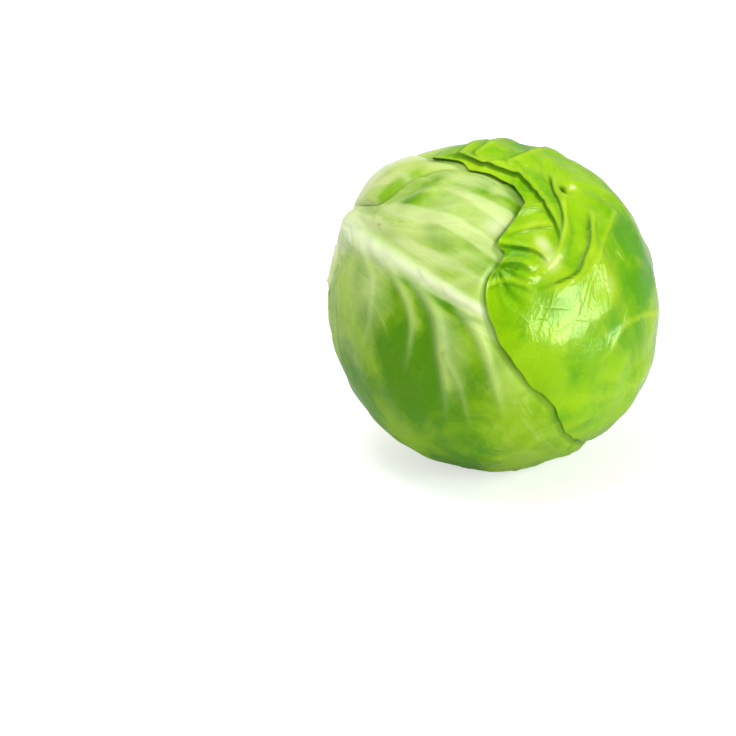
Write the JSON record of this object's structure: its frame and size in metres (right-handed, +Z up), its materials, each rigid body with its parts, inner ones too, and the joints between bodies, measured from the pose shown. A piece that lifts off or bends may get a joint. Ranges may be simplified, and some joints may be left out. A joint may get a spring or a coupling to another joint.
{
  "type": "cabbage head",
  "caption": "Whole round cabbage head lying on its side, smooth pale front leaf, bright crown leaf folded over it, trimmed stalk end",
  "frame": {"origin": "middle of the small flat spot on the under side that the head rests on", "axes": "+Z up; the viewer stands at -Y; +X to the viewer's right; the stalk points up, to the left and back"},
  "size_m": [0.181, 0.1824, 0.1772],
  "materials": {
    "stalk_pith": "cut pith, moist and matt",
    "heart_leaf": "pale packed leaves, satin",
    "green_leaf": "waxy leaf, satin gloss, paler veins",
    "pale_leaf": "waxy leaf, satin gloss, white ribs"
  },
  "bodies": {
    "root": {"stalk": "stalk_pith", "heart": "heart_leaf", "wrapper_leaf_crown": "green_leaf", "wrapper_leaf_front": "pale_leaf", "wrapper_leaf_under": "green_leaf", "wrapper_leaf_back": "green_leaf", "wrapper_leaf_top": "pale_leaf", "wrapper_leaf_far": "green_leaf", "wrapper_leaf_lower": "pale_leaf", "wrapper_leaf_inner": "pale_leaf"}
  },
  "joints": []
}
